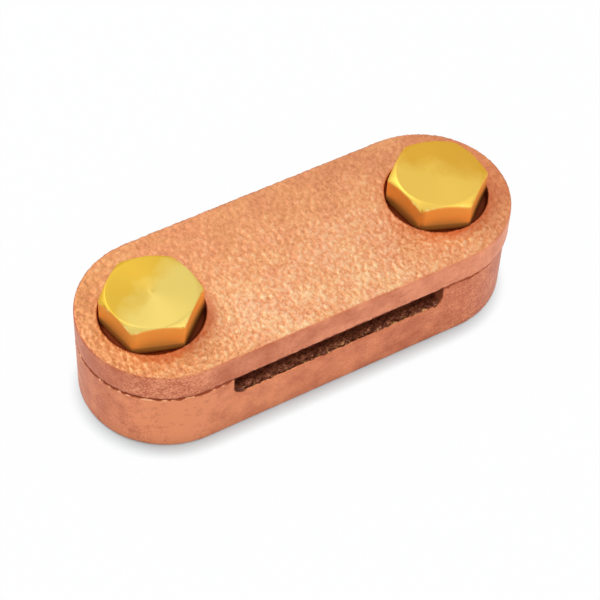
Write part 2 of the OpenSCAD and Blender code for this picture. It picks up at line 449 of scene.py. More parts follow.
def sand_face(tree, at, tones):
    """The colour of a face that stays as cast: hollows, ridges and rosy patches, with painted shade,
    highlights and glints.
    """
    # The pale near middle is a painted sheen.
    middle = add(tree, RANGE, {0: at.along, 1: 26 * MM, 2: 8 * MM})
    near = add(tree, RANGE, {0: at.y, 1: 9 * MM, 2: -6 * MM})
    sheen_zone = add(tree, MATH, {0: middle, 1: near}, operation="MULTIPLY")
    pale = add(tree, MATH, {0: sheen_zone, 1: SHEEN_SHARE, 2: PLAIN_TONE}, operation="MULTIPLY_ADD")
    cloudy = add(tree, MATH, {0: at.patch, 1: PATCH_SHARE, 2: pale}, operation="MULTIPLY_ADD")
    lively = add(tree, RANGE, {0: at.y, 1: CALM_Y, 2: LIVELY_Y, 3: CALM_SHARE, 4: 1.0})
    swell = add(tree, MATH, {0: at.grain, 1: 0.5}, operation="SUBTRACT")
    lively_swell = add(tree, MATH, {0: swell, 1: lively}, operation="MULTIPLY")
    rolling = add(tree, MATH, {0: lively_swell, 1: GRAIN_SHARE, 2: cloudy}, operation="MULTIPLY_ADD")
    # The bright specks of the grit are painted glints.
    speck_glints = add(tree, MATH, {0: at.speck, 1: lively}, operation="MULTIPLY")
    height = add(tree, MATH, {0: speck_glints, 1: GRIT_SHARE, 2: rolling}, operation="MULTIPLY_ADD")
    spread = add(tree, RANGE, {0: height, 1: 0.1, 2: 0.9})
    # The ramp's dark hollows and pale ridges are partly the face's own tone, partly painted shade and
    # highlights.
    sandy = add(tree, "ShaderNodeValToRGB", {0: spread})
    for stop, position, tone in zip(sandy.color_ramp.elements, (0.1, 0.9), ("hollow", "ridge")):
        stop.position = position
        stop.color = linear(tones[tone])
    sandy.color_ramp.elements.new(0.5).color = linear(tones["face"])
    blush_noise = add(tree, NOISE, {"Vector": at.place, "Scale": 1 / BLUSH_SIZE, "Detail": 3.0})
    blush = add(tree, RANGE, {0: blush_noise.outputs["Fac"], 1: 0.4, 2: 0.64})
    rosy = add(tree, MIX, {0: blush, 6: sandy.outputs[0], 7: BLUSH}, data_type="RGBA", blend_type="MULTIPLY")
    return rosy.outputs[2]


print("rosy patches of", BLUSH_SIZE / MM, "mm on the cast faces")

# %% [markdown]
# Painted light has its own zones on the cast face. The left end is painted a little darker and more golden
# and the right end a darker red, as painted shade. Beside each seat, on its near right, a painted shadow and
# reflection of the head turns the face a darker red.

# %% Painted shade at both ends and the painted shadows of the heads
SEAT_RADIUS = 5.83 * MM
HEAD_SHADOW_SIDE = (0.4, -0.92, 0)
HEAD_SHADOW_STRENGTH = 0.75
RIGHT_SHADE_SHARE = 0.4
LEFT_END_SHADE = (0.95, 0.95, 0.86, 1)


def face_with_painted_shade(tree, at, tones, face):
    """A cast face with painted shade at both ends and a painted shadow of the head beside each seat."""
    # Both ends are painted darker, the left one golden and the right one red: painted shade.
    left_end = add(tree, RANGE, {0: at.x, 1: -13 * MM, 2: -20 * MM})
    golden = add(tree, MIX, {0: left_end, 6: face, 7: LEFT_END_SHADE}, data_type="RGBA", blend_type="MULTIPLY")
    right_end = add(tree, RANGE, {0: at.x, 1: 17 * MM, 2: 25 * MM, 4: RIGHT_SHADE_SHARE})
    red = linear(tones["shade_red"])
    right_end_shaded = add(tree, MIX, {0: right_end, 6: golden.outputs[2], 7: red}, data_type="RGBA")
    # Beside each seat, a painted shadow and reflection of the head.
    near_seat = add(tree, RANGE, {0: at.radius, 1: SEAT_RADIUS + 1.6 * MM, 2: SEAT_RADIUS + 0.3 * MM})
    end_sign = add(tree, MATH, {0: at.x}, operation="SIGN")
    own_x = add(tree, MATH, {0: at.from_axis, 1: end_sign}, operation="MULTIPLY")
    own_spoke = add(tree, JOIN, {"X": own_x, "Y": at.y})
    towards = add(tree, VECTOR, {0: own_spoke, 1: HEAD_SHADOW_SIDE}, operation="DOT_PRODUCT").outputs["Value"]
    sideways = add(tree, MATH, {0: towards, 1: at.radius}, operation="DIVIDE")
    shadow_facing = add(tree, RANGE, {0: sideways, 1: 0.2, 2: 0.8})
    head_shadow = add(tree, MATH, {0: near_seat, 1: shadow_facing}, operation="MULTIPLY")
    head_shadow_on = add(tree, MATH, {0: head_shadow, 1: HEAD_SHADOW_STRENGTH}, operation="MULTIPLY")
    return add(tree, MIX, {0: head_shadow_on, 6: right_end_shaded.outputs[2], 7: red}, data_type="RGBA").outputs[2]


print("seats of", round(SEAT_RADIUS / MM, 2), "mm radius")

# %% [markdown]
# The sides were ground after casting, so they are duller, pinker and almost smooth, with a faint mottle and
# level streaks. The near tip on the left stayed rough, the left end is dull and the right end is pitted,
# each as much as the casting's own values say. The whole tone drifts slowly from end to end.

# %% The ground sides
STREAK_SIZE = 0.8 * MM
STREAK_RUN = (0.25, 0.25, 5.0)
STREAK_SHARE = 0.2
MOTTLE_SIZE = 2.6 * MM
NEAR_TIP = (-0.45, -0.89, 0)
FLECK_SHARE = 0.5
SMEAR_SHARE = 0.7
PITTED_SMEAR = 0.3


def ground_side(tree, at, tones):
    """The colour of a ground side, with its mottle, its flecks and the marks of its ends."""
    flat_place = add(tree, VECTOR, {0: at.place, 1: STREAK_RUN}, operation="MULTIPLY")
    streak = add(tree, NOISE, {"Vector": flat_place, "Scale": 1 / STREAK_SIZE, "Detail": 2.0}).outputs["Fac"]
    mottle = add(tree, NOISE, {"Vector": at.place, "Scale": 1 / MOTTLE_SIZE, "Detail": 6.0,
                               "Roughness": 0.68}).outputs["Fac"]
    mixed = add(tree, MATH, {0: streak, 1: STREAK_SHARE, 2: mottle}, operation="MULTIPLY_ADD")
    from_left = add(tree, VECTOR, {0: at.place, 1: (-straight_half, 0, 0)}, operation="SUBTRACT")
    tip_way = add(tree, VECTOR, {0: from_left, 1: NEAR_TIP}, operation="DOT_PRODUCT").outputs["Value"]
    tip = add(tree, RANGE, {0: tip_way, 1: 8.3 * MM, 2: 9.5 * MM})
    pitted = add(tree, RANGE, {0: at.x, 1: 11 * MM, 2: 17 * MM, 4: tones["pitted_end"]})
    rough_patch = add(tree, RANGE, {0: at.patch, 1: 0.5, 2: 0.6, 3: 0.35, 4: 1.0})
    marked = add(tree, MATH, {0: tip, 1: tones["tip_marks"], 2: pitted}, operation="MULTIPLY_ADD")
    rougher = add(tree, MATH, {0: marked, 1: rough_patch}, operation="ADD")
    fleck = add(tree, MATH, {0: at.speck, 1: rougher}, operation="MULTIPLY")
    flecked = add(tree, MATH, {0: fleck, 1: FLECK_SHARE, 2: mixed}, operation="MULTIPLY_ADD")
    smear = add(tree, MATH, {0: at.crumbs, 1: 0.4}, operation="SUBTRACT")
    marred = add(tree, MATH, {0: pitted, 1: PITTED_SMEAR, 2: tip}, operation="MULTIPLY_ADD")
    end_smear = add(tree, MATH, {0: smear, 1: marred}, operation="MULTIPLY")
    smeared = add(tree, MATH, {0: end_smear, 1: SMEAR_SHARE, 2: flecked}, operation="MULTIPLY_ADD")
    dull = add(tree, RANGE, {0: at.x, 1: -22 * MM, 2: -26 * MM, 4: tones["dull_end"]})
    dulled = add(tree, MATH, {0: smeared, 1: dull}, operation="SUBTRACT")
    drifting = add(tree, MATH, {0: at.x, 1: tones["drift"], 2: dulled}, operation="MULTIPLY_ADD")
    ground = add(tree, "ShaderNodeValToRGB", {0: drifting})
    for stop, position, tone in zip(ground.color_ramp.elements, (0.4, 0.8), ("side_dark", "side_light")):
        stop.position = position
        stop.color = linear(tones[tone])
    return ground.outputs[0]


print("mottle of", MOTTLE_SIZE / MM, "mm on the ground sides")

# %% [markdown]
# The slot's floor is painted darker inside, as painted shade, and lighter at its mouth, as painted light.
# There painted glints lie on its lip and its grains. Under the seam at the left, a painted highlight stands
# for a burr where the castings were pressed together.

# %% Painted shade and glints in the slot, and the painted highlight of the burr
LIP_GLINT = "#ffc47a"
BURR_AND_GLINT_HIGHLIGHT = "#ffb88a"
SLOT_SHADE = 0.92
GLINT_SHARE = 0.8


def slot_shade_and_glints(tree, at, skin):
    """A skin with painted shade and glints in the slot and a painted highlight for the burr under the seam.
    """
    under_seam = add(tree, MATH, {0: at.from_seam, 1: 0.0}, operation="LESS_THAN")
    in_slot = add(tree, MATH, {0: at.as_cast, 1: under_seam}, operation="MULTIPLY")
    # The slot's floor is painted darker inside than at its mouth: painted shade.
    open_strip = add(tree, RANGE, {0: at.reach_out, 1: half_width - 1.2 * MM, 2: half_width - 0.9 * MM,
                                   3: SLOT_SHADE, 4: 1.0})
    shaded = add(tree, MIX, {0: in_slot, 6: skin, 7: open_strip}, data_type="RGBA", blend_type="MULTIPLY")
    # Bright bits on the lip are painted glints.
    lip_bits = add(tree, RANGE, {0: at.crumbs, 1: 0.56, 2: 0.6})
    at_lip = add(tree, RANGE, {0: at.reach_out, 1: half_width - 0.55 * MM, 2: half_width - 0.3 * MM})
    lip_here = add(tree, MATH, {0: lip_bits, 1: at_lip}, operation="MULTIPLY")
    lip_glint = add(tree, MATH, {0: lip_here, 1: in_slot}, operation="MULTIPLY")
    lip_glinted = add(tree, MIX, {0: lip_glint, 6: shaded.outputs[2], 7: linear(LIP_GLINT)}, data_type="RGBA")
    glint_bits = add(tree, RANGE, {0: at.grit, 1: 0.6, 2: 0.68, 4: GLINT_SHARE})
    glints = add(tree, MATH, {0: glint_bits, 1: in_slot}, operation="MULTIPLY")
    # A painted highlight stands for a burr under the seam.
    burr_band = add(tree, RANGE, {0: at.from_seam, 1: -0.45 * MM, 2: -0.3 * MM})
    burr_end = add(tree, RANGE, {0: at.x, 1: -8 * MM, 2: -15 * MM})
    burr_noise = add(tree, RANGE, {0: at.crumbs, 1: 0.46, 2: 0.41})
    burr_bits = add(tree, MATH, {0: burr_noise, 1: burr_end}, operation="MULTIPLY")
    burr_here = add(tree, MATH, {0: burr_band, 1: burr_bits}, operation="MULTIPLY")
    burr = add(tree, MATH, {0: burr_here, 1: under_seam}, operation="MULTIPLY")
    bits = add(tree, MATH, {0: burr, 1: glints}, operation="MAXIMUM")
    highlight_share = add(tree, MATH, {0: bits, 1: at.at_outline}, operation="MULTIPLY")
    return add(tree, MIX, {0: highlight_share, 6: lip_glinted.outputs[2], 7: linear(BURR_AND_GLINT_HIGHLIGHT)},
               data_type="RGBA").outputs[2]


print("slot floor at", round(slot_floor / MM, 2), "mm")

# %% [markdown]
# The round seats under the heads are darkened, darkest on their floor: partly dirt that a cloth can't reach,
# partly painted shade in the recess. Dirt also stays in the seam, where noise makes the line wider and
# narrower. An occlusion node would find such places too, but its shade would change when the cover lifts,
# and distances stay with the piece.

# %% Dirt and painted shade in the seats, dirt in the seam
SEAT_FLOOR_GRIME_AND_SHADE = "#86380e"
SEAM_GRIME = "#9c4216"
LEAST_SEAM = 0.14 * MM
MOST_SEAM = 0.46 * MM


def seat_shade_and_seam_dirt(tree, at, tones, skin):
    """A skin with dirt and painted shade in the seats of the heads, and dirt along the seam."""
    # The seats are painted darker, darkest on their floor: dirt and painted shade.
    in_seat = add(tree, RANGE, {0: at.radius, 1: SEAT_RADIUS + 0.15 * MM, 2: SEAT_RADIUS})
    deep = add(tree, RANGE, {0: at.z, 1: cover_top, 2: cover_top - 0.3 * MM})
    over_floor = add(tree, MATH, {0: at.z, 1: cover_top - 1.1 * MM}, operation="GREATER_THAN")
    seat_wall = add(tree, MATH, {0: in_seat, 1: deep}, operation="MULTIPLY")
    seat_dirt_and_shade = add(tree, MATH, {0: seat_wall, 1: over_floor}, operation="MULTIPLY")
    seat_darkened = add(tree, MIX, {0: seat_dirt_and_shade, 6: skin, 7: linear(tones["seat_grime_and_shade"])}, data_type="RGBA")
    on_floor = add(tree, RANGE, {0: at.z, 1: cover_top - 0.55 * MM, 2: cover_top - 0.75 * MM})
    seat_floor_dirt_and_shade = add(tree, MATH, {0: seat_dirt_and_shade, 1: on_floor}, operation="MULTIPLY")
    seat_floor_darkened = add(tree, MIX, {0: seat_floor_dirt_and_shade, 6: seat_darkened.outputs[2], 7: linear(SEAT_FLOOR_GRIME_AND_SHADE)},
                 data_type="RGBA")
    off_seam = add(tree, MATH, {0: at.from_seam}, operation="ABSOLUTE")
    seam_reach = add(tree, RANGE, {0: at.crumbs, 1: 0.4, 2: 0.62, 3: LEAST_SEAM, 4: MOST_SEAM})
    seam_share = add(tree, MATH, {0: off_seam, 1: seam_reach}, operation="DIVIDE")
    seam_line = add(tree, RANGE, {0: seam_share, 1: 1.0, 2: 0.5})
    seam_dirt = add(tree, MATH, {0: seam_line, 1: at.at_outline}, operation="MULTIPLY")
    return add(tree, MIX, {0: seam_dirt, 6: seat_floor_darkened.outputs[2], 7: linear(SEAM_GRIME)},
               data_type="RGBA").outputs[2]


print("dirt reaches", LEAST_SEAM / MM, "to", MOST_SEAM / MM, "mm from the seam")

# %% [markdown]
# One function lays the layers over each other. A clean bronze is all metal. This one has a thin dull oxide,
# which scatters a part of the light, so its metallic share is three quarters, and a weak coat gives back the
# shine of the ridges. Both castings share the function and differ in their tones: the base shows its cast
# face only in the slot, so its cast tones are far darker, a painted shade.

# %% Sand-cast gunmetal


def new_material(name):
    """A material with nodes: the material, its tree and its shader."""
    material = bpy.data.materials.new(name)
    material.use_nodes = True
    return material, material.node_tree, material.node_tree.nodes["Principled BSDF"]


def cast_gunmetal(name, tones):
    """Gunmetal with its sand print on the faces that stay as cast and ground sides between them."""
    # To the eye: a rosy peach that glitters from ridge to ridge, and a duller pink where it was ground
    material, tree, shader = new_material(name)
    shader.inputs["Metallic"].default_value = 0.75
    shader.inputs["Coat Weight"].default_value = 0.2
    shader.inputs["Coat Roughness"].default_value = 0.4
    at = casting_fields(tree, tones["run"])
    face = face_with_painted_shade(tree, at, tones, sand_face(tree, at, tones))
    skin = add(tree, MIX, {0: at.as_cast, 6: ground_side(tree, at, tones), 7: face}, data_type="RGBA")
    colour = seat_shade_and_seam_dirt(tree, at, tones, slot_shade_and_glints(tree, at, skin.outputs[2]))
    rough = add(tree, RANGE, {0: at.grit, 1: 0.3, 2: 0.7, 3: 0.6, 4: 0.46})
    bite = add(tree, RANGE, {0: at.as_cast, 1: 0.0, 2: 1.0, 3: 0.1, 4: 0.7})
    bump = add(tree, "ShaderNodeBump", {"Strength": bite, "Distance": 0.05 * MM, "Height": at.grit})
    tree.links.new(colour, shader.inputs["Base Color"])
    tree.links.new(rough.outputs[0], shader.inputs["Roughness"])
    for socket in ("Normal", "Coat Normal"):
        tree.links.new(bump.outputs[0], shader.inputs[socket])
    return material


cover_metal = cast_gunmetal("sand_cast_gunmetal_cover", {
    "run": COVER_RUN, "hollow": "#c47a48", "face": "#f2a870", "ridge": "#ffd8a4", "shade_red": "#e07a4a",
    "side_dark": "#c86e48", "side_light": "#f09c72", "drift": 4.0, "dull_end": 0.06, "tip_marks": 2.8,
    "pitted_end": 0.3, "seat_grime_and_shade": "#b45c32"})
# The base's cast tones are painted far darker, as the shade in the slot.
base_metal = cast_gunmetal("sand_cast_gunmetal_base", {
    "run": BASE_RUN, "hollow": "#4c1c0c", "face": "#703820", "ridge": "#b4704a", "shade_red": "#96502e",
    "side_dark": "#c66a44", "side_light": "#ee9666", "drift": -8.0, "dull_end": 0.28, "tip_marks": 0.8,
    "pitted_end": 2.2, "seat_grime_and_shade": "#5c2a18"})
print("materials", {m.name: len(m.node_tree.nodes) for m in (cover_metal, base_metal)})

# %% [markdown]
# The cover takes the grain on its top and has two ragged edges: faint nicks along the seam and a crumbled
# upper edge. Moulding sand is finer than the grain here, which is drawn as coarse as it needs to show. The
# net is as fine as it can be with the piece under 200,000 triangles.

# %% Make the cover
GRAIN = {"face_band": 0.5 * MM, "grain_size": 0.45 * MM, "wave_size": 1.5 * MM, "wave_depth": 0.04 * MM,
         "skin": 0.02 * MM, "calm_y": CALM_Y, "lively_y": LIVELY_Y}
COVER_NET = 0.17 * MM
ALL_ROUND = 1.0
EVEN_NICKS = {"stretch_half": ALL_ROUND, "inward": 1.0, "steady_share": 0.0}

cover = even_skin("cover", "cover_casting", COVER_NET)
dress(cover, grain_tree, cover_metal, face_height=cover_top, grain_run=COVER_RUN, grain_depth=0.24 * MM,
      **GRAIN)
cover_outline = {"centre_x": 0.0, "straight_half": straight_half, "half_width": half_width}
dress(cover, edge_tree, cover_metal, edge_height=seam_z, reach=0.3 * MM, nick_length=0.9 * MM,
      nick_depth=0.03 * MM, nick_share=0.5, climb=1.0, **EVEN_NICKS, **cover_outline)
dress(cover, edge_tree, cover_metal, edge_height=cover_top, reach=0.45 * MM, nick_length=0.5 * MM,
      nick_depth=0.07 * MM, nick_share=0.6, climb=-1.0, **EVEN_NICKS, **cover_outline)
settle(cover)

# %% [markdown]
# The base takes the grain on the slot's floor, where it is shallower. Its seam has the same faint nicks, and
# the slot's lip sags deeply between the slot's ends. The thread tree cuts both tapped holes.

# %% Make the base
BASE_NET = 0.2 * MM
PITCH = 1.0 * MM
TAPPED_RADIUS = 3.05 * MM
base_straight = (base_high.x - base_low.x) / 2 - half_width
base_outline = {"centre_x": (base_low.x + base_high.x) / 2, "straight_half": base_straight,
                "half_width": half_width, "nick_share": 0.5, "climb": -1.0}

base = even_skin("base", "base_casting", BASE_NET)
dress(base, grain_tree, base_metal, face_height=slot_floor, grain_run=BASE_RUN, grain_depth=0.12 * MM,
      **GRAIN)
dress(base, edge_tree, base_metal, edge_height=seam_z, reach=0.3 * MM, nick_length=0.7 * MM,
      nick_depth=0.03 * MM, **EVEN_NICKS, **base_outline)
dress(base, edge_tree, base_metal, edge_height=slot_floor, reach=1.2 * MM, nick_length=0.6 * MM,
      nick_depth=0.74 * MM, stretch_half=SLOT_HALF + 0.7 * MM, inward=0.15, steady_share=0.22, **base_outline)
for screw in screw_places.values():
    dress(base, thread_tree, base_metal, axis_x=screw["x"], low=0.3 * MM, high=seam_z - 0.4 * MM,
          radius=TAPPED_RADIUS, pitch=PITCH, depth=0.45 * MM, crest_share=0.45, root_share=0.9)
settle(base)

# %% [markdown]
# The screws are turned from hexagon bar. The bar's flats stay on the head, a 35 degree chamfer takes off its
# six corners, and the parting tool leaves a tiny pip in the middle of the face. The bar's own corners are a
# little round, so its section is a rule too: a flat, or the arc of the nearest corner.

# %% The section of the bar
ACROSS_FLATS = 10 * MM
CORNER_RADIUS = 0.5 * MM
SIDES = 6
SIDE_STEPS = [-30, -29.6, -29.2, -28.6, -27, -22, -15, -7, 0, 7, 15, 22, 27, 28.6, 29.2, 29.6]


def flat_radius(degrees):
    """How far the bar's surface lies from its axis, at an angle from the middle of a flat."""
    apothem = ACROSS_FLATS / 2
    corner_centre = (apothem - CORNER_RADIUS) / math.cos(math.pi / SIDES)
    from_corner = math.pi / SIDES - abs(math.radians(degrees))
    reach = CORNER_RADIUS ** 2 - (corner_centre * math.sin(from_corner)) ** 2
    flat = apothem / math.cos(math.radians(degrees))
    if reach <= 0:
        return flat
    return min(flat, corner_centre * math.cos(from_corner) + math.sqrt(reach))


angles = [side * 360 / SIDES + step for side in range(SIDES) for step in SIDE_STEPS]
flats = [flat_radius(step) for _ in range(SIDES) for step in SIDE_STEPS]
print(len(angles), "columns, corners at", round(max(flats) / MM, 2), "mm")

# %% [markdown]
# A screw is lofted ring by ring, from the pip down to the tip, with the same columns all the way, so that one
# loop can skin it. A ring gives every column its radius and its height over the seat. The chamfer follows the
# bar's section, which draws the curved edge that every turned hexagon has.

# %% The rings of a screw
CHAMFER_SLOPE = math.tan(math.radians(35))
FACE_DROP = 0.03 * MM
FACE_RINGS = 11
PIP = ((0.05, 0.01), (0.1, 0.02), (0.14, 0.03))
PIP_RADIUS = 0.14 * MM
FACE_EDGE = 0.1 * MM
HEAD_EDGE = 0.06 * MM
BAR_HEIGHTS = (2.2, 1.2, 0.4, 0.1)
THREAD_RADIUS = 3.0 * MM
COLLAR_RADIUS = 3.3 * MM
TIP_CHAMFER = 0.7 * MM
TIP_RING = 1.2 * MM
ROWS_PER_TURN = 14


def screw_rings(face, head, length):
    """The rings of a screw, and which of them lie on the bar's skin and on its worn edge."""
    whole = len(angles)
    level = head - FACE_DROP
    rings = [[(radius * MM, head - drop * MM)] * whole for radius, drop in PIP]
    for step in range(1, FACE_RINGS + 1):
        rings.append([(PIP_RADIUS + (face - PIP_RADIUS - FACE_EDGE) * step / FACE_RINGS, level)] * whole)
    rings.append([(face - 0.03 * MM, level - 0.005 * MM)] * whole)
    for share in (0.08, 0.5, 0.85):
        rings.append([(face + (flat - face) * share, level - (flat - face) * share * CHAMFER_SLOPE)
                      for flat in flats])
    first_bar = len(rings)
    for drop in (0.12, 0.25):
        rings.append([(flat, level - (flat - face) * CHAMFER_SLOPE - drop * MM) for flat in flats])
    for height in BAR_HEIGHTS:
        rings.append([(flat, height * MM) for flat in flats])
    bar_rows = range(first_bar, len(rings))
    rings.append([(flat - HEAD_EDGE, 0.0) for flat in flats])
    rings.append([(COLLAR_RADIUS, 0.0)] * whole)
    rows = int(length / (PITCH / ROWS_PER_TURN))
    for row in range(rows + 1):
        depth = length * row / rows
        rings.append([(min(THREAD_RADIUS, THREAD_RADIUS - TIP_CHAMFER + length - depth), -depth)] * whole)
    rings.append([(TIP_RING, -length)] * whole)
    return rings, bar_rows, (first_bar - 1, first_bar)


print("chamfer slope", round(CHAMFER_SLOPE, 3))

# %% [markdown]
# The skin has a UV map that runs round and down the screw, for the lathe's marks, and two attributes that say
# where the bar's own skin and its worn edge are. A fan closes the pip and another one the tip.

# %% Skin the rings
FACE_RADII = {"left_screw": 4.95 * MM, "right_screw": 4.75 * MM}
HEAD_TURNS = {"left_screw": 41, "right_screw": 38}


def screw_blank(name, spot):
    """A screw with a plain shank, as one closed skin with a map of its turning marks."""
    rings, bar_rows, edge_rows = screw_rings(FACE_RADII[name], spot["top"] - spot["seat"],
                                             spot["seat"] - spot["tip"])
    headings = [math.radians(angle + 180 / SIDES + HEAD_TURNS[name]) for angle in angles]
    count = len(headings)
    work = bmesh.new()
    marks = work.loops.layers.uv.new("turning")
    bar_skin = work.verts.layers.float.new("bar_skin")
    worn_edge = work.verts.layers.float.new("worn_edge")
    skin = [[work.verts.new((spot["x"] + radius * math.cos(heading), radius * math.sin(heading),
                             spot["seat"] + height))
             for heading, (radius, height) in zip(headings, ring)] for ring in rings]
    for rows, layer in ((bar_rows, bar_skin), (edge_rows, worn_edge)):
        for row in rows:
            for corner in skin[row]:
                corner[layer] = 1.0
    pip = work.verts.new((spot["x"], 0, spot["top"]))
    tip = work.verts.new((spot["x"], 0, spot["tip"]))
    for row, (upper, lower) in enumerate(zip(skin, skin[1:])):
        for i in range(count):
            j = (i + 1) % count
            square = work.faces.new((upper[i], lower[i], lower[j], upper[j]))
            for loop, (u, v) in zip(square.loops, ((i, row), (i, row + 1), (i + 1, row + 1), (i + 1, row))):
                loop[marks].uv = (u / count, v / len(rings))
    for i in range(count):
        j = (i + 1) % count
        work.faces.new((pip, skin[0][i], skin[0][j]))
        work.faces.new((tip, skin[-1][j], skin[-1][i]))
    for made in work.faces:
        made.smooth = True
    mesh = bpy.data.meshes.new(name + "_blank")
    work.to_mesh(mesh)
    work.free()
    piece = bpy.data.objects.new(name + "_brass", mesh)
    scene.collection.objects.link(piece)
    return piece


print("face radii in mm", {name: round(face / MM, 2) for name, face in FACE_RADII.items()})

# %% [markdown]
# A lathe leaves fine rings on brass, and their shine fans out from the middle of the face. The shader's own
# anisotropy along the UV map does that, which drawn lines could not. The face runs from pale lemon to gold
# towards one side, partly tarnished and partly a painted sheen, and the edge round it is worn, with bright
# and dark chips.

# %% The turned face and its worn edge
TARNISH_AND_SHEEN_SIZE = 2.2 * MM
TARNISH_AND_SHEEN_SPREAD = 5.0
CHIP_SIZE = 0.6 * MM
CHIPS = ((0.56, 0.68, "#f6dc84"), (0.36, 0.3, "#cc9434"))


def turned_face(tree, place, from_axis, tones):
    """The colour of a turned face, partly tarnished and partly a painted sheen: pale on one side, gold on the
    other.
    """
    cloud = add(tree, NOISE, {"Vector": place, "Scale": 1 / TARNISH_AND_SHEEN_SIZE, "Detail": 4.0})
    # One side of the face is paler, partly tarnished and partly a painted sheen.
    way = [part / MM for part in tones["tarnish_and_sheen_side"]]
    side = add(tree, VECTOR, {0: from_axis, 1: way}, operation="DOT_PRODUCT").outputs["Value"]
    drift = add(tree, MATH, {0: cloud.outputs["Fac"], 1: TARNISH_AND_SHEEN_SPREAD, 2: side}, operation="MULTIPLY_ADD")
    tarnish_and_sheen = add(tree, RANGE, {0: drift, 1: 1.8, 2: 4.6})
    shade = add(tree, MIX, {0: tarnish_and_sheen, 6: linear(tones["pale"]), 7: linear(tones["gold"])}, data_type="RGBA")
    return shade.outputs[2]


def worn(tree, place, colour):
    """A colour with bright and dark chips along the worn edge of a head."""
    worn_edge = add(tree, ATTRIBUTE, attribute_name="worn_edge").outputs["Fac"]
    chips = add(tree, NOISE, {"Vector": place, "Scale": 1 / CHIP_SIZE, "Detail": 3.0}).outputs["Fac"]
    for low, high, tone in CHIPS:
        bits = add(tree, RANGE, {0: chips, 1: low, 2: high})
        on_edge = add(tree, MATH, {0: bits, 1: worn_edge}, operation="MULTIPLY")
        colour = add(tree, MIX, {0: on_edge, 6: colour, 7: linear(tone)}, data_type="RGBA").outputs[2]
    return colour


print("tarnish in clouds of", TARNISH_AND_SHEEN_SIZE / MM, "mm")

# %% [markdown]
# The flats keep the bar's own skin, painted more orange and less bright than a turned face: a painted
# reflection of the copper cover beside them. One flat of each head is painted browner and another dark from
# its foot up, both as painted shade, and dirt and painted shade creep up the foot of all of them, furthest on
# those two. Directions from the axis pick the flats, so no flat needs a material of its own.

# %% The flats of the bar and their feet
LEFT_FLAT_SHADE_TONE = "#8a4c20"
FOOT_GRIME_AND_SHADE = "#50220c"
BROWN_FLAT = (-0.98, -0.19, 0)
SHADY_FLAT = (0.66, -0.75, 0)
SHADY_SHARE = 0.85
LEAST_FOOT_SHADE = 0.36


def left_flat_shading(tree, from_axis, tones):
    """How far the bar's skin is painted browner, as painted shade: on the flat that looks to the left."""
    left_way = add(tree, VECTOR, {0: from_axis, 1: BROWN_FLAT}, operation="DOT_PRODUCT").outputs["Value"]
    return add(tree, RANGE, {0: left_way, 1: 4.5 * MM, 2: 4.9 * MM, 4: tones["left_shade_share"]})


def foot_dirt_and_shade(tree, place, from_axis, left_shade):
    """How much dirt and painted shade lie at the foot of a head, where it stands in its seat."""
    height = add(tree, SPLIT, {0: place}).outputs["Z"]
    above = add(tree, MATH, {0: height, 1: cover_top}, operation="SUBTRACT")
    # The flat that looks to the near right is painted dark from its foot up: painted shade.
    shady_way = add(tree, VECTOR, {0: from_axis, 1: SHADY_FLAT}, operation="DOT_PRODUCT").outputs["Value"]
    shady = add(tree, RANGE, {0: shady_way, 1: 4.75 * MM, 2: 4.95 * MM, 4: SHADY_SHARE})
    darkened_share = add(tree, MATH, {0: shady, 1: left_shade}, operation="MAXIMUM")
    foot_reach = add(tree, RANGE, {0: darkened_share, 1: 0.0, 2: SHADY_SHARE, 3: 0.2 * MM, 4: 1.7 * MM})
    foot_share = add(tree, MATH, {0: above, 1: foot_reach}, operation="DIVIDE")
    foot = add(tree, RANGE, {0: foot_share, 1: 1.0, 2: 0.0})
    foot_darkening = add(tree, MATH, {0: darkened_share, 1: LEAST_FOOT_SHADE}, operation="MAXIMUM")
    return add(tree, MATH, {0: foot, 1: foot_darkening}, operation="MULTIPLY")


print("feet of the heads from", round(cover_top / MM, 2), "mm up")

# %% [markdown]
# Brass is all metal when it is clean. These screws have been handled, so the face is a little less so, and
# the flats, with their drawn skin, a good deal less. The left screw is a lemon brass and the right one a
# more golden one.

# %% Turned brass


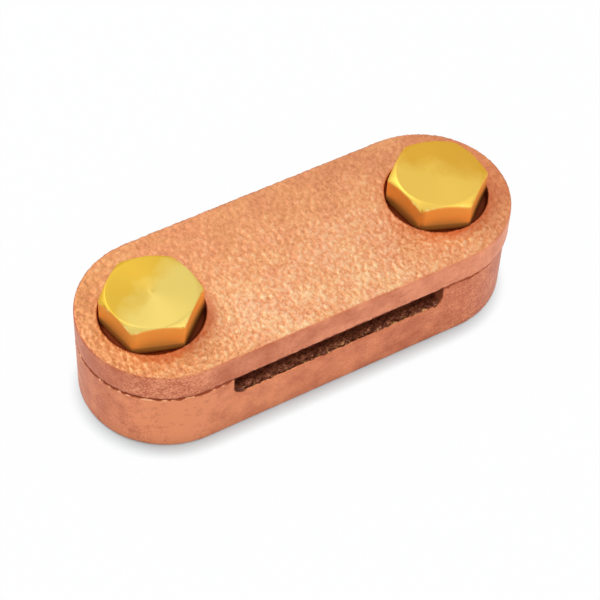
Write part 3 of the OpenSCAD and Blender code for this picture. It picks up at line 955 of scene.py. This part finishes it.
def turned_brass(name, axis_x, tones):
    """Turned brass, with the bar's own skin on its flats painted orange as a reflection of the copper cover.
    """
    # To the eye: a warm yellow shine that fans out from the middle of the face, over satin orange flats
    material, tree, shader = new_material(name)
    shader.inputs["Anisotropic"].default_value = 0.35
    shader.inputs["Specular Tint"].default_value = linear("#f4d478")
    around = add(tree, "ShaderNodeTangent", direction_type="UV_MAP", uv_map="turning")
    place = add(tree, "ShaderNodeTexCoord").outputs["Object"]
    from_axis = add(tree, VECTOR, {0: place, 1: (axis_x, 0, 0)}, operation="SUBTRACT")
    bar_skin = add(tree, ATTRIBUTE, attribute_name="bar_skin").outputs["Fac"]
    # The flat that looks to the left is painted browner: painted shade.
    left_shade = left_flat_shading(tree, from_axis, tones)
    # The flats' orange is a painted reflection of the copper cover.
    bar = add(tree, MIX, {0: left_shade, 6: linear(tones["flat_reflection_tone"]), 7: linear(LEFT_FLAT_SHADE_TONE)}, data_type="RGBA")
    barred = add(tree, MIX, {0: bar_skin, 6: turned_face(tree, place, from_axis, tones), 7: bar.outputs[2]},
                 data_type="RGBA")
    foot = foot_dirt_and_shade(tree, place, from_axis, left_shade)
    # Dirt and painted shade at the feet of the flats.
    dirt = add(tree, MATH, {0: foot, 1: bar_skin}, operation="MULTIPLY")
    colour = add(tree, MIX, {0: dirt, 6: worn(tree, place, barred.outputs[2]), 7: linear(FOOT_GRIME_AND_SHADE)},
                 data_type="RGBA")
    metal = add(tree, RANGE, {0: bar_skin, 1: 0.0, 2: 1.0, 3: 0.8, 4: 0.55})
    rough = add(tree, RANGE, {0: bar_skin, 1: 0.0, 2: 1.0, 3: 0.45, 4: 0.5})
    for socket, source in (("Base Color", colour.outputs[2]), ("Metallic", metal.outputs[0]),
                           ("Roughness", rough.outputs[0]), ("Tangent", around.outputs[0])):
        tree.links.new(source, shader.inputs[socket])
    return material


brass = {
    "left_screw": turned_brass("turned_brass_lemon", screw_places["left_screw"]["x"], {
        "gold": "#e8bc44", "pale": "#f0d472", "flat_reflection_tone": "#ffb656", "left_shade_share": 0.18,
        "tarnish_and_sheen_side": (-0.47, 0.88, 0)}),
    "right_screw": turned_brass("turned_brass_golden", screw_places["right_screw"]["x"], {
        "gold": "#e8b240", "pale": "#f6cc5c", "flat_reflection_tone": "#fab054", "left_shade_share": 0.34,
        "tarnish_and_sheen_side": (0.7, 0.74, 0)})}
print("materials", {m.name: len(m.node_tree.nodes) for m in brass.values()})

# %% [markdown]
# Each blank gets its thread, becomes a plain mesh and takes the place of its solid: it rides on its own body,
# so it turns and rises when the joints move. The castings do the same.

# %% Make the screws and let all pieces ride
for name, spot in screw_places.items():
    screw = screw_blank(name, spot)
    dress(screw, thread_tree, brass[name], axis_x=spot["x"], low=spot["tip"], high=spot["seat"] - 0.2 * MM,
          radius=THREAD_RADIUS, pitch=PITCH, depth=0.613 * MM, crest_share=0.125, root_share=0.75)
    settle(screw)
    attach(screw, name)
    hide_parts(name)
for piece, body in ((cover, "cover"), (base, "base")):
    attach(piece, body)
    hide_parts(body)
print("riding", [*screw_places, "cover", "base"])

# %% [markdown]
# The stage is a pale floor in a white studio. The floor shows mostly its own white, to the eye and to the
# metal, and keeps the shadow: where the clip crowds the open sky, towards the far right, the white gives way
# to the paper's own shading. A plain lit sheet would turn grey all over. Its colour is a little cooler where
# it is seen, which makes the shadow neutral beside the warm metal.

# %% Floor
FLOOR_REACH = 1.5
SHADOW_REACH = 2.5 * MM
SKY_SIDE = {"X": 0.46, "Y": 0.7, "Z": 0.55}

floor_mesh = bpy.data.meshes.new("floor")
corners = [(x * FLOOR_REACH, y * FLOOR_REACH, 0) for x, y in ((-1, -1), (1, -1), (1, 1), (-1, 1))]
floor_mesh.from_pydata(corners, [], [(0, 1, 2, 3)])
floor = bpy.data.objects.new("floor", floor_mesh)
scene.collection.objects.link(floor)

# To the eye: a matt white sheet with no shine, on which only the soft shadow shows where the clip stands
paper, tree, matt = new_material("matt_white_paper")
matt.inputs["Roughness"].default_value = 0.9
ray = add(tree, "ShaderNodeLightPath").outputs
seen = add(tree, MATH, {0: ray["Is Camera Ray"], 1: ray["Is Glossy Ray"]}, operation="ADD")
seen_all = add(tree, MATH, {0: seen, 1: ray["Is Transmission Ray"]}, operation="ADD", use_clamp=True)
sheet = add(tree, MIX, {0: seen_all, 6: linear("#dedede"), 7: linear("#cddce0")}, data_type="RGBA")
tree.links.new(sheet.outputs[2], matt.inputs["Base Color"])
sky_side = add(tree, JOIN, SKY_SIDE)
crowding = add(tree, "ShaderNodeAmbientOcclusion", {"Distance": SHADOW_REACH, "Normal": sky_side})
open_sky = add(tree, RANGE, {0: crowding.outputs["AO"], 1: 0.31, 2: 0.78, 3: 0.0, 4: 0.98})
share = add(tree, MATH, {0: seen_all, 1: open_sky}, operation="MULTIPLY")
glow = add(tree, "ShaderNodeEmission", {"Color": linear("#ffffff"), "Strength": 1.0})
look = add(tree, "ShaderNodeMixShader", {0: share, 1: matt.outputs[0], 2: glow})
tree.links.new(look.outputs[0], tree.nodes["Material Output"].inputs["Surface"])
floor_mesh.materials.append(paper)
print("floor of", 2 * FLOOR_REACH, "m")

# %% [markdown]
# The light is that of a small studio tent. A white world lights everything evenly, a soft lamp behind and to
# the left models the forms, and a weaker one in front and to the right fills the near sides.

# %% World and lamps
WORLD_STRENGTH = 0.87

scene.view_settings.view_transform = "Standard"
world = bpy.data.worlds.new("studio")
world.use_nodes = True
scene.world = world
sky = world.node_tree.nodes["Background"].inputs
sky["Color"].default_value = linear("#f6f8fa")
sky["Strength"].default_value = WORLD_STRENGTH


def soft_lamp(name, place, size, power):
    """A square area lamp that looks at the clip, with its power in watts."""
    lamp = bpy.data.lights.new(name, "AREA")
    lamp.size = size
    lamp.energy = power
    holder = bpy.data.objects.new(name, lamp)
    facing = (-Vector(place)).to_track_quat("-Z", "Y").to_matrix().to_4x4()
    holder.matrix_world = Matrix.Translation(place) @ facing
    scene.collection.objects.link(holder)


soft_lamp("key_lamp", (-0.09, 0.14, 0.2), 0.12, 0.16)
soft_lamp("fill_lamp", (0.08, -0.2, 0.16), 0.2, 0.13)
